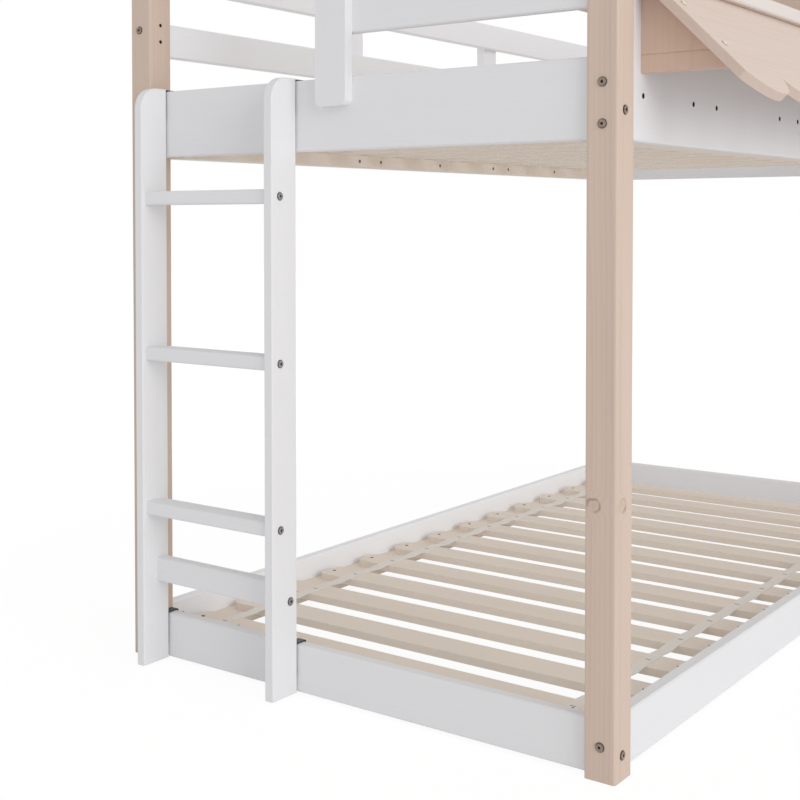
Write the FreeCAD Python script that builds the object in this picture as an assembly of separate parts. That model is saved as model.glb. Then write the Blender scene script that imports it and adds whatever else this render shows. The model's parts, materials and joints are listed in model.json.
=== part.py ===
import FreeCAD, Part
import math
import os

# House bunk bed in millimetres. +X runs from the ladder end to the far end,
# the awning side faces -Y and +Z is up. The origin is on the floor, under the middle of the box.

# Whole bed
bed_length = 2083.0
bed_width = 1031.0
board_edge = 2.5

# Posts and house roof
post_x = 58.0
post_y = 52.0
post_top = 1580.0
post_round = 4.0
roof_pitch = 45.0
beam_height = 58.0
beam_thickness = 42.0
beam_drop = 1.0
tie_beam_drop = 60.0
ridge_width = 45.0
ridge_height = 50.0

# Side rails
rail_thickness = 24.0
rail_inset = 13.0
lower_rail_bottom = 5.0
lower_rail_height = 86.0
upper_rail_bottom = 981.0
upper_rail_height = 127.0

# Slatted bases
ledger_width = 50.0
ledger_height = 25.0
lower_ledger_rise = 12.0
slat_count = 13
slat_width = 72.0
slat_thickness = 15.0
slat_end_gap = 19.0
slat_margin = 49.0
slat_far_margin = 120.4
slat_corner = 15.0
tape_width = 24.0
tape_thickness = 1.2
tape_from_slat_end = 76.0

# Guard boards and their uprights
guard_thickness = 21.0
guard_height = 65.0
guard_gap = 75.0
upright_width = 65.0
upright_overlap = 51.0
upright_corner = 12.0
upright_ladder_gap = 57.5
upright_from_middle = 315.0

# Awning on the front rail, which is a tall board up to the sill
sill_cover = 23.6
sill_thickness = 25.5
sill_reach = 25.0
sill_end_gap = 2.0
awning_foot_rise = 106.7
awning_slope = 45.5
awning_thickness = 15.0
awning_rise = 169.5
awning_run = 251.0
awning_end_margin = 82.9
lobe_count = 12
lobe_depth = 42.7
cheek_thickness = 18.0
cheek_from_end = 109.3
cheek_groove_rise = 28.5
cheek_groove_depth = 1.2

# Ladder that hooks over the end rails
ladder_gap = 2.0
ladder_post_gap = 12.5
ladder_clear_width = 300.0
ladder_bottom = 4.0
ladder_top = 1112.0
stile_thickness = 21.0
stile_depth = 68.0
stile_corner = 42.0
rung_depth = 47.0
rung_height = 26.0
rung_setback = 7.0
rung_round = 5.0
rung_levels = {"lower": 308.0, "middle": 604.5, "upper": 901.0}
rung_bolt_from_front = 14.0
crossbar_level = 184.5
crossbar_setback = 35.0
crossbar_bolt_drop = 9.5
hook_thickness = 2.5
hook_width = 16.0
hook_leg = 60.0
hook_drop = 20.0
hook_bend = 3.5
hook_clearance = 0.3

# Bolts through the posts, their barrel nuts, and the ladder's bolts
bolt_head_radius = 7.5
bolt_head_height = 2.5
bolt_head_sides = 12
bolt_shank_radius = 3.5
bolt_shank_sides = 6
bolt_bite = 38.0
nut_radius = 5.0
nut_length = 16.0
nut_sides = 6
lower_long_bolt_rise = 49.0
lower_end_bolt_rise = 35.0
upper_long_bolt_rises = (23.0, 86.0)
tall_board_bolt_rise = 225.0
upper_end_bolt_rise = 44.0
guard_long_bolt_rise = 47.0
guard_end_bolt_rise = 18.0

# Plain holes: along the front upper rail, and a pair in the post beside the ladder
rail_hole_radius = 3.5
rail_hole_level = 1053.0
rail_hole_places = (119.0, 320.5, 423.5, 747.0, 852.5)
post_hole_radius = 2.5
post_hole_depth = 30.0
post_hole_spacing = 32.0
post_hole_level = 1224.0

# Places worked out from the sizes above
slope = math.radians(awning_slope)
pitch = math.radians(roof_pitch)
awning_reach = (awning_run + lobe_depth) * math.cos(slope) - rail_inset
ladder_reach = stile_depth + ladder_gap - rail_inset
upright_reach = guard_thickness - rail_inset
x_ladder = -(bed_length + bolt_head_height - ladder_reach) / 2
x_far = x_ladder + bed_length
x_middle = (x_ladder + x_far) / 2
y_front = -(bed_width + upright_reach - awning_reach) / 2
y_back = y_front + bed_width
y_middle = (y_front + y_back) / 2
between_ends = (x_ladder + post_x, x_far - post_x)
between_sides = (y_front + post_y, y_back - post_y)
rail_inner = rail_inset + rail_thickness
front_face = y_front + rail_inset
slat_length = bed_width - 2 * (rail_inner + slat_end_gap)
slat_run = bed_length - 2 * rail_inner - slat_margin - slat_far_margin
slat_pitch = (slat_run - slat_width) / (slat_count - 1)
ladder_near_face = between_sides[1] - ladder_post_gap - ladder_clear_width - 2 * stile_thickness
entry_upright = (ladder_near_face - upright_ladder_gap - upright_width, ladder_near_face - upright_ladder_gap)
post_inner_top = post_top - post_y * math.tan((math.pi / 2 - pitch) / 2)
roof_rise = bed_width / 2 * math.tan(pitch)
apex = post_top + roof_rise
lower_rail_top = lower_rail_bottom + lower_rail_height
upper_rail_top = upper_rail_bottom + upper_rail_height
awning_foot = upper_rail_bottom + awning_foot_rise
awning_top = awning_foot + awning_rise
sill_level = awning_top - sill_cover
guard_levels = {
    "lower": upper_rail_top + guard_gap,
    "upper": upper_rail_top + 2 * guard_gap + guard_height,
}
guard_top = guard_levels["upper"] + guard_height
upright_bottom = upper_rail_top - upright_overlap
front_guard_inset = rail_inner - guard_thickness
ends = {"ladder": (x_ladder, 1), "far": (x_far, -1)}
sides = {"front": (y_front, 1), "back": (y_back, -1)}
x_axis = FreeCAD.Vector(1, 0, 0)
y_axis = FreeCAD.Vector(0, 1, 0)
z_axis = FreeCAD.Vector(0, 0, 1)

parts = {}
cuts = {}


def slab(xs, ys, zs):
    corner = FreeCAD.Vector(min(xs), min(ys), min(zs))
    return Part.makeBox(max(xs) - min(xs), max(ys) - min(ys), max(zs) - min(zs), corner)


def band(face, way, start, size):
    return (face + way * start, face + way * (start + size))


def straight_edges(shape, direction):
    found = []
    for edge in shape.Edges:
        if isinstance(edge.Curve, Part.Line) and edge.Curve.Direction.cross(direction).Length < 1e-6:
            found.append(edge)
    return found


def eased(shape, direction, radius):
    return shape.makeFillet(radius, straight_edges(shape, direction))


def softened(shape, direction):
    return shape.makeChamfer(board_edge, straight_edges(shape, direction))


def prism(points, sweep):
    outline = Part.makePolygon([FreeCAD.Vector(*point) for point in points + points[:1]])
    return Part.Face(outline).extrude(sweep)


def cut_later(name, tool):
    cuts.setdefault(name, []).append(tool)


# A flat-headed bolt through a post, and the barrel nut across the piece that it draws up
bolts = []
nuts = []


def rod(sides, radius, base, way, length):
    across = way.cross(z_axis)
    corners = []
    for corner in range(sides):
        angle = 2 * math.pi * (corner + 0.5) / sides
        reach = across * math.cos(angle) + way.cross(across) * math.sin(angle)
        corners.append(base + reach * radius)
    return Part.Face(Part.makePolygon(corners + corners[:1])).extrude(way * length)


def bolt_solid(seat, way, length):
    head = rod(bolt_head_sides, bolt_head_radius, seat, -way, bolt_head_height)
    shank = rod(bolt_shank_sides, bolt_shank_radius, seat, way, length)
    return head.fuse(shank)


def bolt_joint(seat, way, grip, inward):
    length = grip + bolt_bite
    bolts.append(bolt_solid(seat, way, length))
    nut_base = seat + way * length - inward * (nut_length / 2)
    nuts.append(rod(nut_sides, nut_radius, nut_base, inward, nut_length))


def bolt_long_piece(side, inset, thickness, level):
    face, way_in = sides[side]
    y = face + way_in * (inset + thickness / 2)
    for x, way in ends.values():
        bolt_joint(FreeCAD.Vector(x, y, level), x_axis * way, post_x, y_axis * way_in)


def bolt_end_piece(end, thickness, level, at_sides):
    face, way_in = ends[end]
    x = face + way_in * (rail_inset + thickness / 2)
    for side in at_sides:
        y, way = sides[side]
        bolt_joint(FreeCAD.Vector(x, y, level), y_axis * way, post_y, x_axis * way_in)


# Posts with mitred tops
def make_posts():
    for end, (x, along) in ends.items():
        for side, (y, way) in sides.items():
            inner = y + way * post_y
            outline = [(x, y, 0), (x, inner, 0), (x, inner, post_inner_top), (x, y, post_top)]
            post = prism(outline, x_axis * (along * post_x))
            parts[f"post_{end}_{side}"] = eased(post, z_axis, post_round)
    inner_face = FreeCAD.Vector(x_ladder + post_x / 2, y_back - post_y, post_hole_level)
    for step in (-0.5, 0.5):
        place = inner_face + z_axis * (step * post_hole_spacing)
        cut_later("post_ladder_back", Part.makeCylinder(post_hole_radius, post_hole_depth, place, y_axis))


# Rails that tie the posts at both bunks
def make_rails():
    lower_rises = (lower_long_bolt_rise,)
    front_rises = upper_long_bolt_rises + (tall_board_bolt_rise,)
    long_rails = [
        ("lower_rail_front", "front", lower_rail_bottom, lower_rail_top, lower_rises),
        ("lower_rail_back", "back", lower_rail_bottom, lower_rail_top, lower_rises),
        ("upper_rail_front", "front", upper_rail_bottom, sill_level, front_rises),
        ("upper_rail_back", "back", upper_rail_bottom, upper_rail_top, upper_long_bolt_rises),
    ]
    for name, side, bottom, top, rises in long_rails:
        y, way = sides[side]
        rail = slab(between_ends, band(y, way, rail_inset, rail_thickness), (bottom, top))
        parts[name] = softened(rail, x_axis)
        for rise in rises:
            bolt_long_piece(side, rail_inset, rail_thickness, bottom + rise)
    end_rails = {
        "lower": (lower_rail_bottom, lower_rail_top, lower_end_bolt_rise),
        "upper": (upper_rail_bottom, upper_rail_top, upper_end_bolt_rise),
    }
    for bunk, (bottom, top, rise) in end_rails.items():
        for end, (x, way) in ends.items():
            rail = slab(band(x, way, rail_inset, rail_thickness), between_sides, (bottom, top))
            parts[f"{bunk}_rail_{end}_end"] = softened(rail, y_axis)
            bolt_end_piece(end, rail_thickness, bottom + rise, ("front", "back"))
    for place in rail_hole_places:
        for x in (x_ladder + place, x_far - place):
            mouth = FreeCAD.Vector(x, y_front, rail_hole_level)
            cut_later("upper_rail_front", Part.makeCylinder(rail_hole_radius, post_y, mouth, y_axis))


# Ledgers, slats with rounded ends, and the tapes that space them
def make_base(bunk, ledger_bottom):
    slat_bottom = ledger_bottom + ledger_height
    slat_top = slat_bottom + slat_thickness
    for side, (y, way) in sides.items():
        ledger = slab(between_ends, band(y, way, rail_inner, ledger_width), (ledger_bottom, slat_bottom))
        parts[f"{bunk}_ledger_{side}"] = ledger
    slats = []
    first = x_ladder + rail_inner + slat_margin
    across = (y_middle - slat_length / 2, y_middle + slat_length / 2)
    for place in range(slat_count):
        x = first + place * slat_pitch
        slat = slab((x, x + slat_width), across, (slat_bottom, slat_top))
        slats.append(eased(slat, z_axis, slat_corner))
    parts[f"{bunk}_slats"] = Part.makeCompound(slats)
    tapes = []
    last = first + (slat_count - 1) * slat_pitch + slat_width
    for y, way in ((across[0], 1), (across[1], -1)):
        ys = band(y, way, tape_from_slat_end - tape_width / 2, tape_width)
        tapes.append(slab((first, last), ys, (slat_top, slat_top + tape_thickness)))
    parts[f"{bunk}_slat_tapes"] = Part.makeCompound(tapes)


# Guard boards round the upper bunk and the uprights behind or before them
def make_guards():
    for row, bottom in guard_levels.items():
        zs = (bottom, bottom + guard_height)
        name = f"guard_back_{row}"
        board = slab(between_ends, band(y_back, -1, rail_inset, guard_thickness), zs)
        parts[name] = softened(board, x_axis)
        bolt_long_piece("back", rail_inset, guard_thickness, bottom + guard_long_bolt_rise)
        name = f"guard_far_end_{row}"
        board = slab(band(x_far, -1, rail_inset, guard_thickness), between_sides, zs)
        parts[name] = softened(board, y_axis)
        bolt_end_piece("far", guard_thickness, bottom + guard_end_bolt_rise, ("front", "back"))
        name = f"guard_ladder_end_{row}"
        ys = (between_sides[0], entry_upright[1])
        board = slab(band(x_ladder, 1, rail_inset, guard_thickness), ys, zs)
        parts[name] = softened(board, y_axis)
        bolt_end_piece("ladder", guard_thickness, bottom + guard_end_bolt_rise, ("front",))
    ys = band(y_front, 1, front_guard_inset, guard_thickness)
    board = slab(between_ends, ys, (guard_levels["upper"], guard_top))
    parts["guard_front_upper"] = softened(board, x_axis)
    level = guard_levels["upper"] + guard_long_bolt_rise
    bolt_long_piece("front", front_guard_inset, guard_thickness, level)


def make_uprights():
    zs = (upright_bottom, guard_top)
    upright = slab(band(x_ladder, 1, rail_inset, -guard_thickness), entry_upright, zs)
    parts["upright_entry"] = eased(upright, x_axis, upright_corner)
    rail_faces = {
        "back": band(y_back, -1, rail_inset, -guard_thickness),
        "front": band(y_front, 1, rail_inner, guard_thickness),
    }
    for side, ys in rail_faces.items():
        for end, (_, way) in ends.items():
            xs = band(x_middle - way * upright_from_middle, way, -upright_width / 2, upright_width)
            parts[f"upright_{side}_{end}"] = eased(slab(xs, ys, zs), y_axis, upright_corner)


# Awning: sill, cheeks and the sloping panel with its scalloped edge
def awning_point(x, run, depth):
    y = front_face - run * math.cos(slope) + depth * math.sin(slope)
    z = awning_top - run * math.sin(slope) - depth * math.cos(slope)
    return FreeCAD.Vector(x, y, z)


def make_awning_panel():
    start = x_ladder + awning_end_margin
    stop = x_far - awning_end_margin
    lobe_width = (stop - start) / lobe_count
    top_run = -awning_thickness
    corners = [
        awning_point(start, awning_run, 0),
        awning_point(start, top_run, 0),
        awning_point(stop, top_run, 0),
        awning_point(stop, awning_run, 0),
    ]
    edges = [Part.makeLine(a, b) for a, b in zip(corners, corners[1:])]
    for lobe in range(lobe_count):
        right = stop - lobe * lobe_width
        left = right - lobe_width
        tip = awning_point((left + right) / 2, awning_run + lobe_depth, 0)
        arc = Part.Arc(awning_point(right, awning_run, 0), tip, awning_point(left, awning_run, 0))
        edges.append(arc.toShape())
    below = awning_point(0, 0, awning_thickness) - awning_point(0, 0, 0)
    panel = Part.Face(Part.Wire(edges)).extrude(below)
    behind = slab((start, stop), (front_face, front_face + post_y), (awning_foot, apex))
    above = slab((start, stop), (front_face - post_y, front_face), (sill_level, apex))
    parts["awning_panel"] = panel.cut([behind, above])


def make_cheek(name, x):
    underside = awning_top - awning_thickness / math.cos(slope)
    foot = (underside - awning_foot) / math.tan(slope)
    head = (underside - sill_level) / math.tan(slope)
    outline = [
        (x, front_face, awning_foot),
        (x, front_face - foot, awning_foot),
        (x, front_face - head, sill_level),
        (x, front_face, sill_level),
    ]
    cheek = prism(outline, x_axis * cheek_thickness)
    level = awning_foot + cheek_groove_rise
    for face, way in ((x, 1), (x + cheek_thickness, -1)):
        deep = face + way * cheek_groove_depth
        groove = [
            (face, front_face, level - cheek_groove_depth),
            (face, front_face, level + cheek_groove_depth),
            (deep, front_face, level),
        ]
        cheek = cheek.cut(prism(groove, y_axis * -foot))
    parts[name] = cheek


def make_awning():
    sill_xs = (between_ends[0] + sill_end_gap, between_ends[1] - sill_end_gap)
    sill_ys = (y_front + rail_inner, y_front - sill_reach)
    sill = slab(sill_xs, sill_ys, (sill_level, sill_level + sill_thickness))
    parts["awning_sill"] = softened(sill, x_axis)
    make_cheek("awning_cheek_ladder", x_ladder + cheek_from_end)
    make_cheek("awning_cheek_middle", x_middle - cheek_thickness / 2)
    make_cheek("awning_cheek_far", x_far - cheek_from_end - cheek_thickness)
    make_awning_panel()


# House roof: tie beams, eave beams, mitred rafters and the ridge beam
def make_roof():
    eave_top = post_inner_top - beam_drop
    tie_top = eave_top - tie_beam_drop
    for end, (x, way) in ends.items():
        xs = band(x, way, (post_x - beam_thickness) / 2, beam_thickness)
        tie = slab(xs, between_sides, (tie_top - beam_height, tie_top))
        parts[f"tie_beam_{end}"] = softened(tie, y_axis)
    for side, (y, way) in sides.items():
        ys = band(y, way, (post_y - beam_thickness) / 2, beam_thickness)
        eave = slab(between_ends, ys, (eave_top - beam_height, eave_top))
        parts[f"eave_beam_{side}"] = softened(eave, x_axis)
    lower_apex = post_inner_top + (bed_width / 2 - post_y) * math.tan(pitch)
    for end, (x, along) in ends.items():
        for side, (y, way) in sides.items():
            outline = [
                (x, y, post_top),
                (x, y + way * post_y, post_inner_top),
                (x, y_middle, lower_apex),
                (x, y_middle, apex),
            ]
            rafter = prism(outline, x_axis * (along * post_x))
            run = FreeCAD.Vector(0, way * math.cos(pitch), math.sin(pitch))
            parts[f"rafter_{end}_{side}"] = softened(rafter, run)
    ridge_top = apex - ridge_width / 2 * math.tan(pitch)
    ridge_ys = (y_middle - ridge_width / 2, y_middle + ridge_width / 2)
    ridge = slab(between_ends, ridge_ys, (ridge_top - ridge_height, ridge_top))
    parts["ridge_beam"] = softened(ridge, x_axis)


# Ladder: two stiles, three rungs, a crossbar, bent steel hooks and bolts
ladder_bolts = []
stile_back = x_ladder + rail_inset - ladder_gap
stile_front = stile_back - stile_depth
stile_faces = {
    "right": (ladder_near_face, 1),
    "left": (between_sides[1] - ladder_post_gap, -1),
}
rung_ys = band(ladder_near_face, 1, stile_thickness, ladder_clear_width)


def make_stile(name, outer, way):
    ys = (outer, outer + way * stile_thickness)
    stile = slab((stile_front, stile_back), ys, (ladder_bottom, ladder_top))
    front_top = []
    for edge in straight_edges(stile, y_axis):
        place = edge.CenterOfMass
        if place.x < stile_back - 1 and place.z > ladder_top - 1:
            front_top.append(edge)
    stile = stile.makeFillet(stile_corner, front_top)
    rims = []
    for edge in stile.Edges:
        across = isinstance(edge.Curve, Part.Line) and abs(edge.Curve.Direction.y) > 0.5
        if not across:
            rims.append(edge)
    parts[name] = stile.makeChamfer(board_edge, rims)


def make_crosspiece(name, xs, zs, bolt_x, bolt_z):
    parts[name] = eased(slab(xs, rung_ys, zs), y_axis, rung_round)
    length = stile_thickness + bolt_bite
    for outer, way in stile_faces.values():
        seat = FreeCAD.Vector(bolt_x, outer, bolt_z)
        ladder_bolts.append(bolt_solid(seat, y_axis * way, length))


def make_hook(stile, rail_top):
    outer, way = stile_faces[stile]
    middle = outer + way * stile_thickness / 2
    rail_back = x_ladder + rail_inner
    underside = rail_top + hook_clearance
    top = underside + hook_thickness
    near = stile_back - hook_thickness
    back = rail_back + hook_clearance
    y = middle - hook_width / 2
    outline = [
        (near, y, top - hook_leg),
        (stile_back, y, top - hook_leg),
        (stile_back, y, underside),
        (back, y, underside),
        (back, y, underside - hook_drop),
        (back + hook_thickness, y, underside - hook_drop),
        (back + hook_thickness, y, top),
        (near, y, top),
    ]
    hook = prism(outline, y_axis * hook_width)
    bends = []
    for edge in straight_edges(hook, y_axis):
        place = edge.CenterOfMass
        if abs(place.z - top) < 1e-6:
            bends.append(edge)
    recess_ys = (y - hook_clearance, y + hook_width + hook_clearance)
    recess_zs = (top - hook_leg - hook_clearance, top + hook_clearance)
    recess = slab((near, stile_back + hook_thickness), recess_ys, recess_zs)
    cut_later(f"ladder_stile_{stile}", recess)
    return hook.makeFillet(hook_bend, bends)


def make_ladder():
    for stile, (outer, way) in stile_faces.items():
        make_stile(f"ladder_stile_{stile}", outer, way)
    rung_front = stile_front + rung_setback
    for row, level in rung_levels.items():
        zs = (level - rung_height / 2, level + rung_height / 2)
        xs = (rung_front, rung_front + rung_depth)
        make_crosspiece(f"ladder_rung_{row}", xs, zs, rung_front + rung_bolt_from_front, level)
    bar_front = stile_front + crossbar_setback
    zs = (crossbar_level - rung_depth / 2, crossbar_level + rung_depth / 2)
    bar_middle = bar_front + rung_height / 2
    xs = (bar_front, bar_front + rung_height)
    make_crosspiece("ladder_crossbar", xs, zs, bar_middle, crossbar_level - crossbar_bolt_drop)
    hooks = []
    for stile in stile_faces:
        for rail_top in (lower_rail_top, upper_rail_top):
            hooks.append(make_hook(stile, rail_top))
    parts["ladder_hooks"] = Part.makeCompound(hooks)
    parts["ladder_bolts"] = Part.makeCompound(ladder_bolts)


make_posts()
make_rails()
make_base("lower", lower_rail_bottom + lower_ledger_rise)
make_base("upper", upper_rail_bottom)
make_guards()
make_uprights()
make_awning()
make_roof()
make_ladder()
parts["frame_bolts"] = Part.makeCompound(bolts)
parts["barrel_nuts"] = Part.makeCompound(nuts)
for name, tools in cuts.items():
    parts[name] = parts[name].cut(tools)

os.makedirs("parts", exist_ok=True)
for name, shape in parts.items():
    shape.exportStep(f"parts/{name}.step")
print(len(parts), "pieces written")
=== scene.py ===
import json
import math
import random

import bmesh
import bpy
from mathutils import Matrix, Vector


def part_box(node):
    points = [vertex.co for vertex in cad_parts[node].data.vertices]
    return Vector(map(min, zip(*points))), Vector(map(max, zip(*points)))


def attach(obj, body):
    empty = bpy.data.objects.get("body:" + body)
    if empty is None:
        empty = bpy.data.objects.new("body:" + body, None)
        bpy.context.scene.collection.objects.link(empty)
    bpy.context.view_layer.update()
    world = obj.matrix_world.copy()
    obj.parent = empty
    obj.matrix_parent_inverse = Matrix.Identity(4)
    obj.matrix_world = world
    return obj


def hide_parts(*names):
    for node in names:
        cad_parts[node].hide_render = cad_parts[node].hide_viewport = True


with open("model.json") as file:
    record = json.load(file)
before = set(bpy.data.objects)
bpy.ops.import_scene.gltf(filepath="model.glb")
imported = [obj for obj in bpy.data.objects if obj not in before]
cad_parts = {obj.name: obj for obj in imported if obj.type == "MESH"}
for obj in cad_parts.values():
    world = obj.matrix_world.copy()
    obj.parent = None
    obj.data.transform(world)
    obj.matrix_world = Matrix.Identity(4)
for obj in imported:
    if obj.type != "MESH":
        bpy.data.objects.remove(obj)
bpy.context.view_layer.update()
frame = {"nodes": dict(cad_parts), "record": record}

nodes = frame["nodes"]
dice = random.Random(11)
sameSpot = 1e-6  # corners closer than this are one corner
white = (1, 1, 1, 1)


def shade(red, green, blue):  # screen colour 0-255 to the linear colour that a socket takes
    steps = [value / 255 for value in (red, green, blue)]
    linear = [step / 12.92 if step <= 0.04045 else ((step + 0.055) / 1.055) ** 2.4 for step in steps]
    return (*linear, 1.0)


class Wire:  # a socket in a material, so that shader maths reads as plain sums
    def __init__(self, tree, socket=None):
        self.tree, self.socket = tree, socket

    def node(self, kind, settings, sockets, out=0):
        made = self.tree.nodes.new(kind)
        for name, value in settings.items():
            if name == "stops":
                ramp = made.color_ramp.elements
                while len(ramp) < len(value):
                    ramp.new(0.5)
                for element, (place, colour) in zip(ramp, value):
                    element.position, element.color = place, colour
            else:
                setattr(made, name, value)
        for name, value in sockets.items():
            if isinstance(value, Wire):
                self.tree.links.new(value.socket, made.inputs[name])
            else:
                made.inputs[name].default_value = value
        return Wire(self.tree, made.outputs[out])

    def maths(self, operation, first, second=0):
        return self.node("ShaderNodeMath", {"operation": operation}, {0: first, 1: second})

    def __add__(self, other):
        return self.maths("ADD", self, other)

    def __sub__(self, other):
        return self.maths("SUBTRACT", self, other)

    def __rsub__(self, other):
        return self.maths("SUBTRACT", other, self)

    def __mul__(self, other):
        return self.maths("MULTIPLY", self, other)

    __radd__ = __add__
    __rmul__ = __mul__

    def most(self, other):  # the larger of two values
        return self.maths("MAXIMUM", self, other)

    def vector(self, operation, second, third=None, out=0):
        sockets = {0: self, 1: second} if third is None else {0: self, 1: second, 2: third}
        return self.node("ShaderNodeVectorMath", {"operation": operation}, sockets, out)

    def length(self):
        return self.vector("LENGTH", (0, 0, 0), out="Value")

    def part(self, axis):  # one number of a vector
        return self.node("ShaderNodeSeparateXYZ", {}, {"Vector": self}, axis)

    def noise(self, stretch, detail=2.0, out=0):  # noise on this vector, stretched per axis
        spread = self.vector("MULTIPLY", stretch)
        return self.node("ShaderNodeTexNoise", {}, {"Vector": spread, "Scale": 1.0, "Detail": detail}, out)

    def fade(self, low, high, start=0.0, stop=1.0):  # smooth step between two values
        sockets = {"Value": self, "From Min": low, "From Max": high, "To Min": start, "To Max": stop}
        return self.node("ShaderNodeMapRange", {"interpolation_type": "SMOOTHSTEP"}, sockets)

    def mix(self, first, second):  # two colours by this factor
        sockets = {"Factor": self, 6: first, 7: second}
        return self.node("ShaderNodeMix", {"data_type": "RGBA"}, sockets, 2)

    def ramp(self, levels):  # grey levels at places along this value
        stops = [(place, (level, level, level, 1)) for place, level in levels]
        return self.node("ShaderNodeValToRGB", {"stops": stops}, {"Fac": self})


def newFinish(name):
    material = bpy.data.materials.new(name)
    material.use_nodes = True
    tree = material.node_tree
    return material, Wire(tree), tree.nodes["Principled BSDF"]


def link(wire, shader, socket):
    wire.tree.links.new(wire.socket, shader.inputs[socket])


def relief(height, shader, strength, distance):
    sockets = {"Height": height, "Strength": strength, "Distance": distance}
    link(height.node("ShaderNodeBump", {}, sockets), shader, "Normal")


def onPiece(wire):  # place on the piece, in metres
    return wire.node("ShaderNodeTexCoord", {}, {}, "Object")


grainTurns = {  # turns the pattern's Z to the way that the grain runs
    "x": (0, math.pi / 2, 0),
    "y": (-math.pi / 2, 0, 0),
    "z": (0, 0, 0),
    "rafterFront": (-math.pi / 4, 0, 0),
    "rafterBack": (math.pi / 4, 0, 0),
}


def alongGrain(place, grain, pith):
    sockets = {"Vector": place, "Location": pith, "Rotation": grainTurns[grain]}
    return place.node("ShaderNodeMapping", {"vector_type": "TEXTURE"}, sockets)


# Pine: year rings round a heart line that sways, fibres, slow changes of tone, and knots
pineGrain = {
    "swayStretch": (3.1, 3.1, 0.9), "swayReach": (0.024, 0.024, 0.0),
    "unevenScale": 70.0, "unevenTurns": 1.6,
    "yearLevels": [(0.0, 0), (0.55, 0.25), (0.86, 1), (1.0, 0)],
    "fibreStretch": (620, 620, 9), "fibreDetail": 3.0, "toneStretch": (16, 16, 1.1),
    "fibreRoughness": 0.14, "fibreRelief": 0.6, "yearRelief": 0.4, "reliefDepth": 0.0006,
    # how far below the panel's face the darker tone of its sawn edges, partly painted shade, fades in
    "sawnShadeFrom": -0.0004, "sawnShadeTo": -0.0012,
}
knotMark = {  # spans, rims, wobble and push are shares of the knot's radius
    "wobbleStretch": (90, 90, 90), "wobble": 0.7,
    "pushSpan": (2.6, 0.6), "push": 0.7,
    "rimInside": (0.6, 0.95), "rimOutside": (1.35, 0.98),
    "breakStretch": (70, 70, 70), "breakFade": (0.36, 0.64, 0.1, 1.0),
    "heartSpan": (1.1, 0.2), "heartDepth": 0.2,
}


def knotTone(place, gap, size):  # a broken dark rim and a faint heart, by the distance from the knot's middle
    wobble = place.noise(knotMark["wobbleStretch"], 1.0) - 0.5
    rough = wobble * (size * knotMark["wobble"]) + gap

    def fadeOver(key):
        return rough.fade(*(share * size for share in knotMark[key]))

    broken = place.noise(knotMark["breakStretch"], 0.0).fade(*knotMark["breakFade"])
    rim = fadeOver("rimInside") * fadeOver("rimOutside") * broken
    return rim.most(fadeOver("heartSpan") * knotMark["heartDepth"])


def pineFinish(name, looks, grain, pith, knots=(), face=None):
    material, wire, shader = newFinish(name)
    place = onPiece(wire)
    local = alongGrain(place, grain, pith)
    sway = local.noise(pineGrain["swayStretch"], 2.0, "Color").vector("SUBTRACT", (0.5, 0.5, 0.5))
    bent = sway.vector("MULTIPLY_ADD", pineGrain["swayReach"], local)
    radius = bent.vector("MULTIPLY", (1, 1, 0)).length()
    dark = None
    for centre, way, size in knots:
        gap = place.vector("SUBTRACT", centre).vector("CROSS_PRODUCT", way).length()
        pushed = gap.fade(*(share * size for share in knotMark["pushSpan"]))
        radius = radius + pushed * (size * knotMark["push"])  # the rings bend round the knot
        mark = knotTone(place, gap, size)
        dark = mark if dark is None else dark.most(mark)
    sockets = {"W": radius, "Scale": pineGrain["unevenScale"]}
    uneven = wire.node("ShaderNodeTexNoise", {"noise_dimensions": "1D"}, sockets)
    years = radius * looks["ringsPerMetre"] + uneven * pineGrain["unevenTurns"]
    late = years.maths("FRACT", years).ramp(pineGrain["yearLevels"])
    fibre = local.noise(pineGrain["fibreStretch"], pineGrain["fibreDetail"])
    tone = local.noise(pineGrain["toneStretch"])
    blend = late * looks["ringDepth"] + (fibre - 0.5) * looks["fibreDepth"]
    blend = blend + (tone - 0.5) * looks["toneDepth"] + looks["warmth"]
    colour = blend.fade(0.0, 1.0).mix(looks["early"], looks["late"])
    if dark is not None:
        colour = (dark * looks["knotDepth"]).mix(colour, looks["knot"])
    if face is not None:  # sawn edges and underside drawn darker than the board's face, partly their own end-grain tone and partly painted shade
        depth = place.vector("SUBTRACT", face.center).vector("DOT_PRODUCT", face.normal, out="Value")
        sawnShade = depth.fade(pineGrain["sawnShadeFrom"], pineGrain["sawnShadeTo"]) * looks["sawnShadeDepth"]
        colour = sawnShade.mix(colour, looks["sawnShade"])
    link(colour, shader, "Base Color")
    link(fibre * pineGrain["fibreRoughness"] + looks["roughness"], shader, "Roughness")
    shader.inputs["Specular IOR Level"].default_value = looks["gloss"]
    height = fibre * pineGrain["fibreRelief"] + late * pineGrain["yearRelief"]
    relief(height, shader, looks["relief"], pineGrain["reliefDepth"])
    return material


# Lacquer: faint lines of the wood under it, clouds, and the stipple of the spray
lacquerGrain = {
    "lineStretch": (210, 210, 3.5), "lineDetail": 3.0, "cloudStretch": (5, 5, 1.3),
    "stippleStretch": (900, 900, 900), "stippleDetail": 1.0,
    "stippleRoughness": 0.08, "lineRoughness": 0.06,
    "lineRelief": 0.75, "stippleRelief": 0.25, "reliefDepth": 0.0005,
}


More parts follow.
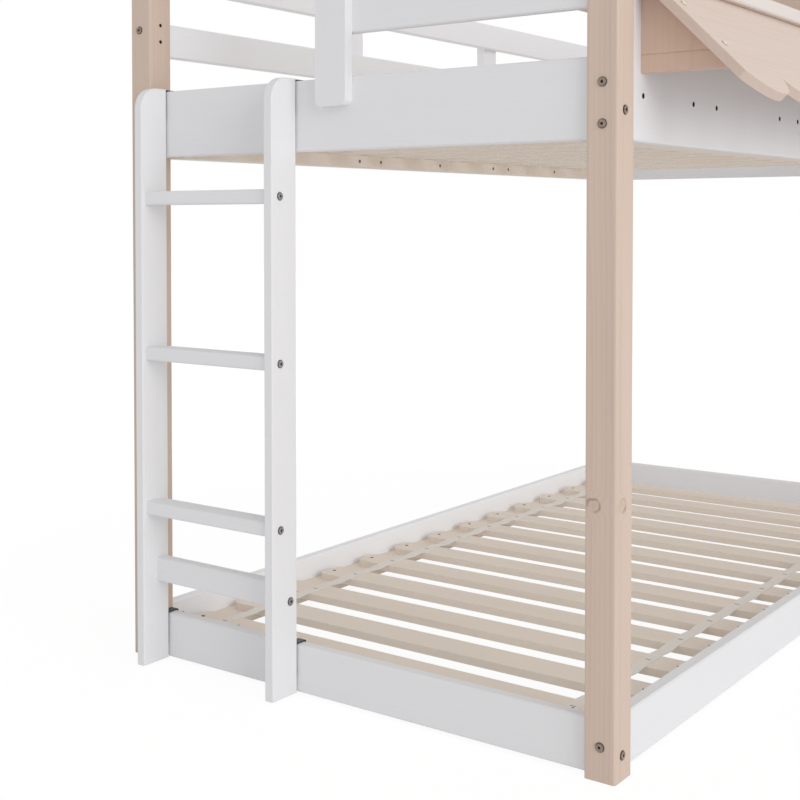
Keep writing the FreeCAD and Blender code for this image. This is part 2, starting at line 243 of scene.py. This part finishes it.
def lacquerFinish(name, looks, grain):
    material, wire, shader = newFinish(name)
    local = alongGrain(onPiece(wire), grain, (0, 0, 0))
    lines = local.noise(lacquerGrain["lineStretch"], lacquerGrain["lineDetail"])
    cloud = local.noise(lacquerGrain["cloudStretch"])
    stipple = local.noise(lacquerGrain["stippleStretch"], lacquerGrain["stippleDetail"])
    blend = (lines - 0.5) * looks["grainDepth"] + (cloud - 0.5) * looks["cloudDepth"] + 0.5
    link(blend.fade(0.0, 1.0).mix(looks["light"], looks["deep"]), shader, "Base Color")
    uneven = stipple * lacquerGrain["stippleRoughness"] + lines * lacquerGrain["lineRoughness"]
    link(uneven + looks["roughness"], shader, "Roughness")
    shader.inputs["Specular IOR Level"].default_value = looks["gloss"]
    height = lines * lacquerGrain["lineRelief"] + stipple * lacquerGrain["stippleRelief"]
    relief(height, shader, looks["relief"], lacquerGrain["reliefDepth"])
    return material


# Steel: worn patches and fine specks
steelGrain = {
    "wornStretch": (260, 260, 260), "wornDetail": 3.0, "wornShare": 0.7,
    "speckStretch": (1400, 1400, 1400), "speckShare": 0.3, "spread": (0.25, 0.75),
    "wornRoughness": 0.25, "relief": 0.12, "reliefDepth": 0.0002,
}


def steelFinish(name, looks):
    material, wire, shader = newFinish(name)
    place = onPiece(wire)
    worn = place.noise(steelGrain["wornStretch"], steelGrain["wornDetail"])
    specks = place.noise(steelGrain["speckStretch"])
    blend = worn * steelGrain["wornShare"] + specks * steelGrain["speckShare"]
    link(blend.fade(*steelGrain["spread"]).mix(looks["light"], looks["deep"]), shader, "Base Color")
    link(worn * steelGrain["wornRoughness"] + looks["roughness"], shader, "Roughness")
    shader.inputs["Metallic"].default_value = looks["metal"]
    relief(specks, shader, steelGrain["relief"], steelGrain["reliefDepth"])
    return material


def shapeOf(mesh, name):  # a bmesh kept as mesh data
    data = bpy.data.meshes.new(name)
    mesh.to_mesh(data)
    mesh.free()
    return data


def finishPiece(name, mesh, body, slot, *finishes):  # a bmesh to a named object on a body
    data = shapeOf(mesh, name)
    for finish in finishes:
        data.materials.append(finish)
    piece = bpy.data.objects.new(name, data)
    bpy.context.scene.collection.objects.link(piece)
    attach(piece, body)
    return piece


def stamp(target, shape, spots):  # one small mesh set at many places
    for spot in spots:
        before = len(target.verts)
        target.from_mesh(shape)
        target.verts.ensure_lookup_table()
        bmesh.ops.transform(target, matrix=spot, verts=target.verts[before:])


def facing(place, outward):  # where a small shape sits, with its top looking outward
    return Matrix.Translation(place) @ Vector(outward).to_track_quat("Z", "Y").to_matrix().to_4x4()


def disc(radius, depth, segments, topRadius=None):  # a flat cylinder about the origin, or a tapered one
    mesh = bmesh.new()
    top = radius if topRadius is None else topRadius
    bmesh.ops.create_cone(mesh, cap_ends=True, segments=segments, radius1=radius, radius2=top, depth=depth)
    return mesh


def topOf(mesh):
    return max(mesh.faces, key=lambda face: face.calc_center_median().z)


def pushOut(mesh, face, distance):  # a face drawn straight up, or down into a well
    moved = bmesh.ops.extrude_discrete_faces(mesh, faces=[face])["faces"][0]
    bmesh.ops.translate(mesh, vec=(0, 0, distance), verts=moved.verts)
    return moved


def paintAround(face, index):  # a face and the sides that meet it get one of the piece's finishes
    for edge in face.edges:
        for side in edge.link_faces:
            side.material_index = index


def islands(node):  # the separate solids of a CAD node, each as its list of corners
    mesh = bmesh.new()
    mesh.from_mesh(nodes[node].data)
    bmesh.ops.remove_doubles(mesh, verts=mesh.verts, dist=sameSpot)
    found = []
    seen = set()
    for vert in mesh.verts:
        if vert in seen:
            continue
        group, queue = [], [vert]
        seen.add(vert)
        while queue:
            here = queue.pop()
            group.append(here.co.copy())
            for edge in here.link_edges:
                other = edge.other_vert(here)
                if other not in seen:
                    seen.add(other)
                    queue.append(other)
        found.append(group)
    mesh.free()
    return found


def reach(corners):  # lowest and highest corner of a list of points
    low = Vector([min(corner[axis] for corner in corners) for axis in range(3)])
    high = Vector([max(corner[axis] for corner in corners) for axis in range(3)])
    return low, high


# Washed pine on posts and roof, paler on the awning, a darker browner copy on its cheeks as painted shade,
# plain on slats and ledgers
washedPine = {
    "early": shade(216, 196, 182), "late": shade(191, 163, 145), "knot": shade(148, 116, 94),
    "ringsPerMetre": 165.0, "ringDepth": 0.17, "fibreDepth": 0.32, "toneDepth": 0.55, "warmth": 0.18,
    "knotDepth": 0.62, "roughness": 0.56, "gloss": 0.12, "relief": 0.10,
}
awningPine = {
    # sawn: the darker tone of the panel's edges and underside, partly their own end-grain tone, partly
    # painted shade
    "early": shade(222, 204, 193), "late": shade(202, 177, 160), "sawnShade": shade(170, 140, 118),
    "ringsPerMetre": 110.0, "ringDepth": 0.15, "fibreDepth": 0.26, "toneDepth": 0.45, "warmth": 0.14,
    "sawnShadeDepth": 0.2, "roughness": 0.55, "gloss": 0.25, "relief": 0.07,
}
# a darker, browner copy of the awning pine for the cheeks: painted shade under the awning
shadedCheekPine = {**awningPine, "early": shade(216, 189, 172), "late": shade(197, 165, 145)}
plainPine = {
    "early": shade(236, 225, 213), "late": shade(215, 195, 177),
    "ringsPerMetre": 140.0, "ringDepth": 0.11, "fibreDepth": 0.14, "toneDepth": 0.5, "warmth": 0.12,
    "roughness": 0.64, "gloss": 0.25, "relief": 0.08,
}
pineLooks = {"washed_pine": washedPine, "awning_pine": awningPine, "plain_pine": plainPine}
knotsByNode = {  # centre, way of the branch, radius, in metres
    "post_ladder_front": [
        ((-1.014, -0.386, 0.424), (1.0, 0.0, 0.0), 0.0105),
        ((-0.992, -0.423, 0.423), (0.0, 1.0, 0.0), 0.0105),
    ],
    "post_ladder_back": [((-0.985, 0.584, 1.330), (1.0, 0.1, 0.0), 0.008)],
    "post_far_front": [((1.068, -0.401, 0.710), (1.0, 0.0, 0.1), 0.009)],
    "post_far_back": [((1.040, 0.607, 1.120), (0.0, 1.0, 0.1), 0.010)],
    "rafter_ladder_front": [((-1.014, -0.126, 1.850), (1.0, 0.0, 0.0), 0.009)],
    "rafter_far_back": [((1.068, 0.324, 1.835), (1.0, 0.0, 0.0), 0.010)],
    "ridge_beam": [((0.310, 0.070, 2.050), (0.0, 1.0, 0.0), 0.009)],
}
pithReach = (0.03, 0.09)  # nearest and furthest heart line from the middle of a board

# White lacquer on rails, boards and ladder, a lighter copy along the back as painted light, a darker creamier
# copy on the sill as painted shade
whiteLacquer = {
    "light": shade(237, 237, 239), "deep": shade(231, 231, 233), "grainDepth": 0.4, "cloudDepth": 0.5,
    "roughness": 0.62, "gloss": 0.16, "relief": 0.04,
}
# a lighter, cooler copy of the white lacquer for the back's boards: painted light on their inner faces
paintedLightLacquer = {**whiteLacquer, "light": shade(250, 251, 254), "deep": shade(244, 245, 248)}
# a darker, creamier copy of the white lacquer for the sill: painted shade
shadedSillLacquer = {**whiteLacquer, "light": shade(229, 222, 217), "deep": shade(221, 213, 207)}

# Dark steel on the ladder's hooks, zinc on the barrel nuts
darkSteel = {"light": shade(92, 92, 95), "deep": shade(48, 48, 50), "metal": 0.7, "roughness": 0.35}
zincSteel = {"light": shade(176, 174, 170), "deep": shade(128, 126, 122), "metal": 0.9, "roughness": 0.3}


def grainOf(node):  # the long side of the piece, but a rafter's own slope
    if node.startswith("rafter"):
        return "rafterFront" if node.endswith("front") else "rafterBack"
    if node.endswith("slats"):
        return "y"
    low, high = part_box(node)
    sides = high - low
    return "xyz"[max(range(3), key=lambda axis: sides[axis])]


def pithOf(node):  # a heart line beside the board, its own for each board
    low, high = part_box(node)
    middle = (low + high) / 2
    angle = dice.uniform(0, 2 * math.pi)
    away = dice.uniform(*pithReach)
    return tuple(middle + Vector((math.cos(angle), math.sin(angle), math.cos(2 * angle))) * away)


def panelFace():  # the awning panel's upper face, the largest that looks up
    faces = [face for face in nodes["awning_panel"].data.polygons if face.normal.z > 0]
    return max(faces, key=lambda face: face.area)


def dressNodes():
    whites = {grain: lacquerFinish(f"whiteLacquer_{grain}", whiteLacquer, grain) for grain in "xyz"}
    paintedLightWhites = {grain: lacquerFinish(f"backLacquer_{grain}", paintedLightLacquer, grain) for grain in "xz"}
    dark, zinc = steelFinish("darkSteel", darkSteel), steelFinish("zincSteel", zincSteel)
    slots = {part["node"]: part["material_slot"] for part in frame["record"]["subparts"]}
    for node, piece in sorted(nodes.items()):
        slot = slots[node]
        grain = grainOf(node)
        if slot in pineLooks:
            looks = shadedCheekPine if "cheek" in node else pineLooks[slot]
            knots = knotsByNode.get(node, ())
            face = panelFace() if node == "awning_panel" else None
            finish = pineFinish(f"{slot}_{node}", looks, grain, pithOf(node), knots, face)
        elif node == "awning_sill":
            finish = lacquerFinish("shadedSillLacquer", shadedSillLacquer, grain)
        elif slot == "white_lacquer":
            finish = paintedLightWhites[grain] if "back" in node else whites[grain]
        else:
            finish = dark if slot == "dark_steel" else zinc
        piece.data.materials.clear()
        piece.data.materials.append(finish)
    print("finishes on", len(nodes), "nodes")


dressNodes()

# Flat bolts: a dark rim painted as the counterbore's shade, bronzed or grey head with a hexagon socket
# painted dark as its shade, and the shank
bolt = {
    "rim": 0.0075, "rimHeight": 0.0011, "head": 0.0067, "headHeight": 0.0024, "round": 0.0005,
    "socket": 0.0022, "socketRing": 0.00275, "socketDepth": 0.0018, "shank": 0.0033, "segments": 24,
    "solidHead": 0.0025,  # how far the head of the CAD bolt stands out
    "bronze": {"light": shade(168, 150, 136), "deep": shade(122, 107, 96), "metal": 0.5, "roughness": 0.4},
    "grey": {"light": shade(168, 168, 170), "deep": shade(118, 118, 120), "metal": 0.7, "roughness": 0.34},
    "darkSteelAndShade": {"light": shade(80, 71, 65), "deep": shade(46, 41, 38), "metal": 0.5, "roughness": 0.45},
}
# dark steel: the staples' own colour, and painted shade on bolt rims, bolt sockets and screw recesses
darkSteelAndShade = steelFinish("darkSteelAndShade", bolt["darkSteelAndShade"])


def sinkSocket(mesh, top):
    bmesh.ops.inset_region(mesh, faces=[top], thickness=bolt["head"] - bolt["round"] - bolt["socketRing"])
    for vert in top.verts:  # the inner ring drawn in to a hexagon
        angle = math.atan2(vert.co.y, vert.co.x) % (math.pi / 3) - math.pi / 6
        vert.co.xy = vert.co.xy.normalized() * (bolt["socket"] / math.cos(angle))
    # the socket's walls and floor take the dark finish: painted shade in the hollow
    paintAround(pushOut(mesh, top, -bolt["socketDepth"]), 1)


def boltShape(length):
    mesh = disc(bolt["rim"], bolt["rimHeight"], bolt["segments"])
    bmesh.ops.translate(mesh, vec=(0, 0, bolt["rimHeight"] / 2), verts=mesh.verts)
    # the rim takes the dark finish: painted shade of the counterbore
    for face in mesh.faces:
        face.material_index = 1
    top = topOf(mesh)
    bmesh.ops.inset_region(mesh, faces=[top], thickness=bolt["rim"] - bolt["head"])
    head = pushOut(mesh, top, bolt["headHeight"] - bolt["rimHeight"])
    paintAround(head, 0)
    bmesh.ops.bevel(mesh, geom=list(head.edges), offset=bolt["round"], affect="EDGES", segments=2,
                    profile=0.5, material=-1)
    flat = max(mesh.faces, key=lambda face: (round(face.calc_center_median().z, 6), face.calc_area()))
    sinkSocket(mesh, flat)
    base = min(mesh.faces, key=lambda face: face.calc_center_median().z)
    bmesh.ops.inset_region(mesh, faces=[base], thickness=bolt["rim"] - bolt["shank"])
    pushOut(mesh, base, -length)
    bmesh.ops.recalc_face_normals(mesh, faces=mesh.faces)
    return shapeOf(mesh, f"boltShape_{round(length * 1000)}")


def boltSpots(node):  # shank length and place of each CAD bolt
    spots = []
    for corners in islands(node):
        low, high = reach(corners)
        sides = high - low
        axis = max(range(3), key=lambda side: sides[side])
        seat = (low + high) / 2
        seat[axis] = low[axis]
        atLow = [corner for corner in corners if abs(corner[axis] - low[axis]) < sameSpot]
        headIsLow = max((corner - seat).length for corner in atLow) > bolt["head"]
        seat[axis] = low[axis] + bolt["solidHead"] if headIsLow else high[axis] - bolt["solidHead"]
        outward = Vector((0, 0, 0))
        outward[axis] = -1 if headIsLow else 1
        spots.append((round(sides[axis] - bolt["solidHead"], 4), facing(seat, outward)))
    return spots


def makeBolts(node, body, headFinish):
    shapes = {}
    mesh = bmesh.new()
    spots = boltSpots(node)
    for length, spot in spots:
        if length not in shapes:
            shapes[length] = boltShape(length)
        stamp(mesh, shapes[length], [spot])
    piece = finishPiece(f"{node}_flat", mesh, body, "zinc_steel", headFinish, darkSteelAndShade)
    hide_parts(node)
    print(len(spots), "bolts for", node)


makeBolts("frame_bolts", "bed_frame", steelFinish("boltBronze", bolt["bronze"]))
makeBolts("ladder_bolts", "ladder", steelFinish("boltGrey", bolt["grey"]))

# Woven tapes stapled along the slats, a little slack over each gap
tape = {
    "slack": 0.0022, "lift": 0.0001, "thickness": 0.0011, "across": 4, "along": 312,
    "staple": (0.0009, 0.0105, 0.0007), "stapleRound": 0.0002, "stapleRise": 0.00021,
    "light": shade(243, 239, 233), "deep": shade(224, 218, 209), "roughness": 0.9,
    "weftPitch": 2600.0, "warpPitch": 1900.0, "fibreStretch": (900, 900, 900),
    "weaveShare": 0.55, "fibreShare": 0.45,
    "weaveRelief": 0.8, "fibreRelief": 0.2, "relief": 0.4, "reliefDepth": 0.0006,
}


def webbingFinish(name):
    material, wire, shader = newFinish(name)
    place = onPiece(wire)
    fibre = place.noise(tape["fibreStretch"])
    weft = wire.maths("SINE", place.part("X") * tape["weftPitch"])
    warp = wire.maths("SINE", place.part("Y") * tape["warpPitch"])
    weave = weft * warp * 0.5 + 0.5
    blend = weave * tape["weaveShare"] + fibre * tape["fibreShare"]
    link(blend.mix(tape["deep"], tape["light"]), shader, "Base Color")
    shader.inputs["Roughness"].default_value = tape["roughness"]
    height = weave * tape["weaveRelief"] + fibre * tape["fibreRelief"]
    relief(height, shader, tape["relief"], tape["reliefDepth"])
    return material


def stapleShape():
    mesh = bmesh.new()
    bmesh.ops.create_cube(mesh, size=1.0)
    bmesh.ops.scale(mesh, vec=tape["staple"], verts=mesh.verts)
    bmesh.ops.bevel(mesh, geom=list(mesh.edges), offset=tape["stapleRound"], affect="EDGES", segments=1,
                    profile=0.5, material=-1)
    return shapeOf(mesh, "stapleShape")


def tapeMesh(low, high, gaps):  # the tape's underside, and its length along one edge
    mesh = bmesh.new()
    middle = (low + high) / 2
    bmesh.ops.create_grid(mesh, x_segments=tape["along"], y_segments=tape["across"], size=0.5)
    bmesh.ops.scale(mesh, vec=(high.x - low.x, high.y - low.y, 1), verts=mesh.verts)
    bmesh.ops.translate(mesh, vec=(middle.x, middle.y, low.z + tape["lift"]), verts=mesh.verts)
    for vert in mesh.verts:
        for start, stop in gaps:
            if start < vert.co.x < stop:
                vert.co.z -= tape["slack"] * math.sin(math.pi * (vert.co.x - start) / (stop - start)) ** 2
    edge = sorted((vert.co for vert in mesh.verts if vert.co.y < low.y + sameSpot), key=lambda place: place.x)
    return mesh, sum((b - a).length for a, b in zip(edge, edge[1:]))


def makeTapes(bunk, webbing, staple):
    slats = sorted((reach(corners) for corners in islands(f"{bunk}_slats")), key=lambda box: box[0].x)
    gaps = [(a[1].x, b[0].x) for a, b in zip(slats, slats[1:])]
    solids = sorted((reach(corners) for corners in islands(f"{bunk}_slat_tapes")), key=lambda box: box[0].y)
    staples = bmesh.new()
    for side, (low, high) in zip(("front", "back"), solids):
        mesh, length = tapeMesh(low, high, gaps)
        piece = finishPiece(f"{bunk}_slat_tape_{side}", mesh, "bed_frame", "slat_tape", webbing)
        wall = piece.modifiers.new("webThickness", "SOLIDIFY")
        wall.thickness, wall.offset = tape["thickness"], 1.0
        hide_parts(f"{bunk}_slat_tapes")
        top = low.z + tape["lift"] + tape["thickness"] + tape["stapleRise"]
        across = (low.y + high.y) / 2
        stamp(staples, staple, [Matrix.Translation(((a.x + b.x) / 2, across, top)) for a, b in slats])
        print(piece.name, "cut", round(length, 4), "m long")
    finishPiece(f"{bunk}_tape_staples", staples, "bed_frame", "zinc_steel", darkSteelAndShade)


slatWebbing = webbingFinish("slatWebbing")
tapeStaple = stapleShape()
makeTapes("lower", slatWebbing, tapeStaple)
makeTapes("upper", slatWebbing, tapeStaple)

# Countersunk screws in the slats, ledgers and uprights
screw = {
    "head": 0.0042, "taper": 0.88, "proud": 0.0004, "sunk": 0.0004, "segments": 12,
    "recess": 0.0014, "recessDepth": 0.0006, "slatInset": 0.017, "spread": 0.017,
    "ledgerPlaces": (-0.370, -0.285, -0.027, 0.235, 0.315, 0.579, 0.837, 0.917),
    "steel": {"light": shade(86, 72, 60), "deep": shade(50, 42, 35), "metal": 0.4, "roughness": 0.45},
}


def screwShape():
    rim = screw["head"] * screw["taper"]
    mesh = disc(screw["head"], screw["proud"] + screw["sunk"], screw["segments"], rim)
    bmesh.ops.translate(mesh, vec=(0, 0, (screw["proud"] - screw["sunk"]) / 2), verts=mesh.verts)
    top = topOf(mesh)
    bmesh.ops.inset_region(mesh, faces=[top], thickness=rim - screw["recess"])
    # the recess takes the dark finish: painted shade in the hollow
    paintAround(pushOut(mesh, top, -screw["recessDepth"]), 1)
    bmesh.ops.recalc_face_normals(mesh, faces=mesh.faces)
    return shapeOf(mesh, "screwShape")


def slatScrewSpots(bunk):
    spots = []
    for corners in islands(f"{bunk}_slats"):
        low, high = reach(corners)
        for across in (low.y + screw["slatInset"], high.y - screw["slatInset"]):
            spots.append(facing(((low.x + high.x) / 2, across, high.z), (0, 0, 1)))
    return spots


def ledgerScrewSpots(node):
    low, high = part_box(node)
    across, way = (low.y, -1) if node.endswith("back") else (high.y, 1)
    level = (low.z + high.z) / 2
    return [facing((along, across, level), (0, way, 0)) for along in screw["ledgerPlaces"]]


def uprightScrewSpots(upright, board, axis):  # a slanting pair where a board crosses, facing along +axis
    low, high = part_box(upright)
    boardLow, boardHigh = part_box(board)
    outward = Vector((0, 0, 0))
    outward[axis] = 1
    level = (max(low.z, boardLow.z) + min(high.z, boardHigh.z)) / 2
    spots = []
    for side in (-1, 1):
        place = (low + high) / 2
        place[axis] = max(high[axis], boardHigh[axis])
        place[1 - axis] += side * screw["spread"]
        place.z = level + side * screw["spread"]
        spots.append(facing(place, outward))
    return spots


def makeScrews():
    mesh = bmesh.new()
    spots = slatScrewSpots("lower") + slatScrewSpots("upper")
    for bunk in ("lower", "upper"):
        for side in ("front", "back"):
            spots += ledgerScrewSpots(f"{bunk}_ledger_{side}")
    for half in ("ladder", "far"):
        for board in ("guard_back_lower", "guard_back_upper", "upper_rail_back"):
            spots += uprightScrewSpots(f"upright_back_{half}", board, 1)
        for board in ("guard_front_upper", "upper_rail_front"):
            spots += uprightScrewSpots(f"upright_front_{half}", board, 1)
    for board in ("guard_ladder_end_lower", "guard_ladder_end_upper", "upper_rail_ladder_end"):
        spots += uprightScrewSpots("upright_entry", board, 0)
    stamp(mesh, screwShape(), spots)
    screwBronze = steelFinish("screwBronze", screw["steel"])
    finishPiece("joint_screws", mesh, "bed_frame", "zinc_steel", screwBronze, darkSteelAndShade)
    print(len(spots), "screws")


makeScrews()

# Pale caps over the screws that hold the awning panel to its cheeks, each in a dark ring painted as the
# countersink's shade
plug = {
    "radius": 0.0056, "ring": 0.0012, "ringProud": 0.0001, "proud": 0.0024, "round": 0.0009,
    "sunk": 0.0006, "segments": 20, "upFromTip": (0.1080, 0.2009),
    "looks": {**awningPine, "early": shade(236, 224, 215)}, "pith": (0.0, -0.6, 1.0),
    "ringShadeTone": {"light": shade(138, 108, 88), "deep": shade(112, 84, 66), "metal": 0.0, "roughness": 0.6},
}


def plugShape():
    mesh = disc(plug["radius"], plug["sunk"], plug["segments"])
    bmesh.ops.translate(mesh, vec=(0, 0, plug["ringProud"] - plug["sunk"] / 2), verts=mesh.verts)
    # the ring takes the dark finish: painted shade round the cap
    for face in mesh.faces:
        face.material_index = 1
    top = topOf(mesh)
    bmesh.ops.inset_region(mesh, faces=[top], thickness=plug["ring"])
    cap = pushOut(mesh, top, plug["proud"])
    paintAround(cap, 0)
    bmesh.ops.bevel(mesh, geom=list(cap.edges), offset=plug["round"], affect="EDGES", segments=2,
                    profile=0.5, material=-1)
    bmesh.ops.recalc_face_normals(mesh, faces=mesh.faces)
    return shapeOf(mesh, "plugShape")


def makePlugs():
    top = panelFace()
    outward = top.normal.copy()
    uphill = outward.cross((1, 0, 0))
    foot = top.center + uphill * ((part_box("awning_panel")[0].y - top.center.y) / uphill.y)
    spots = []
    for cheek in ("ladder", "middle", "far"):
        low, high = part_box(f"awning_cheek_{cheek}")
        for up in plug["upFromTip"]:
            place = foot + uphill * up
            place.x = (low.x + high.x) / 2
            spots.append(facing(place, outward))
    mesh = bmesh.new()
    stamp(mesh, plugShape(), spots)
    capPine = pineFinish("awningPlugs", plug["looks"], "x", plug["pith"])
    ringShadeTone = steelFinish("plugShadeRing", plug["ringShadeTone"])
    finishPiece("awning_plugs", mesh, "bed_frame", "awning_pine", capPine, ringShadeTone)
    print(len(spots), "awning plugs")


makePlugs()

# Dark sleeves in the front rail's row of holes and the ladder post's spare pair, their dark tone painted
# shade in the holes, and dark discs painted as the shade of drilled pilot holes
sleeve = {
    "rail": (0.00345, 0.00305, 0.0236), "post": (0.00246, 0.00216, 0.011),  # outer and inner radius, length
    "flange": 0.0011, "flangeHeight": 0.0003, "segments": 20,
    "pilot": 0.0019, "pilotDepth": 0.0006, "pilotSunk": 0.0002, "pilotSegments": 12,
    "pilotPlaces": (0.508, 0.454, 0.363, -0.3346), "pilotInset": 0.0222,
    # the dark tone of sleeves and pilot discs: painted shade in the holes
    "tone": {"light": shade(52, 47, 43), "deep": shade(30, 27, 25), "metal": 0.0, "roughness": 0.7},
}


def sleeveShape(name, outer, inner, length):  # a tube spun from its section, with a flange at the mouth
    mesh = bmesh.new()
    wide = outer + sleeve["flange"]
    lip = sleeve["flangeHeight"]
    section = [(inner, -length), (outer, -length), (outer, 0.0), (wide, 0.0), (wide, lip), (inner, lip)]
    verts = [mesh.verts.new((across, 0.0, up)) for across, up in section]
    edges = [mesh.edges.new(pair) for pair in zip(verts, verts[1:] + verts[:1])]
    bmesh.ops.spin(mesh, geom=verts + edges, axis=(0, 0, 1), angle=2 * math.pi, steps=sleeve["segments"],
                   use_merge=True)
    bmesh.ops.remove_doubles(mesh, verts=mesh.verts, dist=sameSpot)
    bmesh.ops.recalc_face_normals(mesh, faces=mesh.faces)
    return shapeOf(mesh, name)


def railHoleSpots(mounts):
    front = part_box("upper_rail_front")[0].y
    holes = [mount for mount in mounts if mount["name"].startswith("rail_hole")]
    return [facing((hole["pos_m"][0], front, hole["pos_m"][2]), hole["axis"]) for hole in holes]


def postHoleSpots(mounts):
    spare = [mount for mount in mounts if mount["name"] == "spare_guard_holes"][0]
    half = spare["dims"]["spacing_y_mm"] / 1000 / 2
    middle = Vector(spare["pos_m"])
    return [facing(middle + Vector((0, 0, side * half)), spare["axis"]) for side in (-1, 1)]


def pilotSpots():
    low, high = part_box("lower_rail_ladder_end")
    across, level = low.x + sleeve["pilotInset"], high.z - sleeve["pilotSunk"]
    return [Matrix.Translation((across, along, level)) for along in sleeve["pilotPlaces"]]


def makeSleeves():
    mesh = bmesh.new()
    mounts = frame["record"]["mounts"]
    railSpots, postSpots = railHoleSpots(mounts), postHoleSpots(mounts)
    stamp(mesh, sleeveShape("railSleeve", *sleeve["rail"]), railSpots)
    stamp(mesh, sleeveShape("postSleeve", *sleeve["post"]), postSpots)
    # dark discs on the rail's top: painted shade of the pilot holes
    pilot = disc(sleeve["pilot"], sleeve["pilotDepth"], sleeve["pilotSegments"])
    stamp(mesh, shapeOf(pilot, "pilotShape"), pilotSpots())
    finishPiece("hole_sleeves", mesh, "bed_frame", "dark_steel", steelFinish("sleeveHoleShade", sleeve["tone"]))
    print(len(railSpots) + len(postSpots), "sleeves")


makeSleeves()

# Camera at the photograph's place
camera = {
    "eye": (-2.87471, -1.2976, 0.86169), "yaw": 51.907, "pitch": -1.6034, "roll": -0.1153,
    "lens": 60.184, "sensor": 36.0, "shiftX": 0.1118, "shiftY": -0.18, "nearest": 0.05, "furthest": 60.0,
}


def setCamera():
    yaw, pitch, roll = (math.radians(camera[key]) for key in ("yaw", "pitch", "roll"))
    ahead = Vector((math.sin(yaw) * math.cos(pitch), math.cos(yaw) * math.cos(pitch), math.sin(pitch)))
    right = Vector((math.cos(yaw), -math.sin(yaw), 0))
    up = right.cross(ahead)
    side = right * math.cos(roll) + up * math.sin(roll)
    top = up * math.cos(roll) - right * math.sin(roll)
    lens = bpy.data.cameras.new("studioCamera")
    lens.lens, lens.sensor_width = camera["lens"], camera["sensor"]
    lens.shift_x, lens.shift_y = camera["shiftX"], camera["shiftY"]
    lens.clip_start, lens.clip_end = camera["nearest"], camera["furthest"]
    holder = bpy.data.objects.new("studioCamera", lens)
    bpy.context.scene.collection.objects.link(holder)
    turn = Matrix((side, top, -ahead)).transposed().to_4x4()
    holder.matrix_world = Matrix.Translation(camera["eye"]) @ turn
    bpy.context.scene.camera = holder
    print("camera set")


setCamera()

# Studio: pale floor that keeps a faint shadow, one big soft lamp low in front, and a white surround
studio = {
    "sideLight": 0.69, "topLight": 0.7, "sideToTop": (0.1, 0.9),
    "floorSize": 14.0, "floorDrop": 0.0005, "floorColour": shade(226, 226, 226), "floorRoughness": 0.9,
    "floorGlow": 0.15, "whiteLevel": 1.05, "shadowShare": 0.16, "shadowReach": (1.5, 2.3),
    "lampWay": (-0.32, -0.86, 0.2), "lampAway": 12.0, "lampAim": (0, 0, 0.8),
    "lampSize": 7.5, "lampPower": 492.0,
}


def seenRays(wire):  # 1 where the camera, a reflection or glass looks, 0 for light falling on the bed
    kinds = ("Is Camera Ray", "Is Glossy Ray", "Is Transmission Ray")
    seen, glossy, through = (wire.node("ShaderNodeLightPath", {}, {}, kind) for kind in kinds)
    return seen.most(glossy).most(through)


def setSurround():
    world = bpy.data.worlds.new("studioSurround")
    world.use_nodes = True
    bpy.context.scene.world = world
    wire = Wire(world.node_tree)
    height = wire.node("ShaderNodeTexCoord", {}, {}, "Generated").part("Z")
    light = height.fade(*studio["sideToTop"], studio["sideLight"], studio["topLight"])
    seen = seenRays(wire)
    surround = world.node_tree.nodes["Background"]
    surround.inputs["Color"].default_value = white
    link(seen + (1 - seen) * light, surround, "Strength")


def floorFinish():  # white to the eye, but for a share of the bed's shadow near it
    material, paint, shader = newFinish("studioFloorPaint")
    shader.inputs["Base Color"].default_value = studio["floorColour"]
    shader.inputs["Roughness"].default_value = studio["floorRoughness"]
    shader.inputs["Specular IOR Level"].default_value = 0.0
    shader.inputs["Emission Color"].default_value = white
    shader.inputs["Emission Strength"].default_value = studio["floorGlow"]
    glow = paint.node("ShaderNodeEmission", {}, {"Color": white, "Strength": studio["whiteLevel"]})
    plain = Wire(paint.tree, shader.outputs["BSDF"])
    shadow = onPiece(paint).length().fade(*studio["shadowReach"], studio["shadowShare"], 0.0)
    blend = paint.node("ShaderNodeMixShader", {}, {0: seenRays(paint) * (1 - shadow), 1: plain, 2: glow})
    link(blend, paint.tree.nodes["Material Output"], "Surface")
    return material


def layFloor():
    mesh = bmesh.new()
    bmesh.ops.create_grid(mesh, x_segments=1, y_segments=1, size=studio["floorSize"])
    bmesh.ops.translate(mesh, vec=(0, 0, -studio["floorDrop"]), verts=mesh.verts)
    data = shapeOf(mesh, "studioFloor")
    data.materials.append(floorFinish())
    floor = bpy.data.objects.new("studioFloor", data)
    bpy.context.scene.collection.objects.link(floor)


def hangLamp():
    lamp = bpy.data.lights.new("softLamp", "AREA")
    lamp.energy, lamp.size = studio["lampPower"], studio["lampSize"]
    holder = bpy.data.objects.new("softLamp", lamp)
    way = Vector(studio["lampWay"]).normalized()
    holder.location = way * studio["lampAway"] + Vector(studio["lampAim"])
    holder.rotation_euler = way.to_track_quat("Z", "Y").to_euler()
    bpy.context.scene.collection.objects.link(holder)


bpy.context.scene.view_settings.view_transform = "Standard"
setSurround()
layFloor()
hangLamp()
print("studio set")
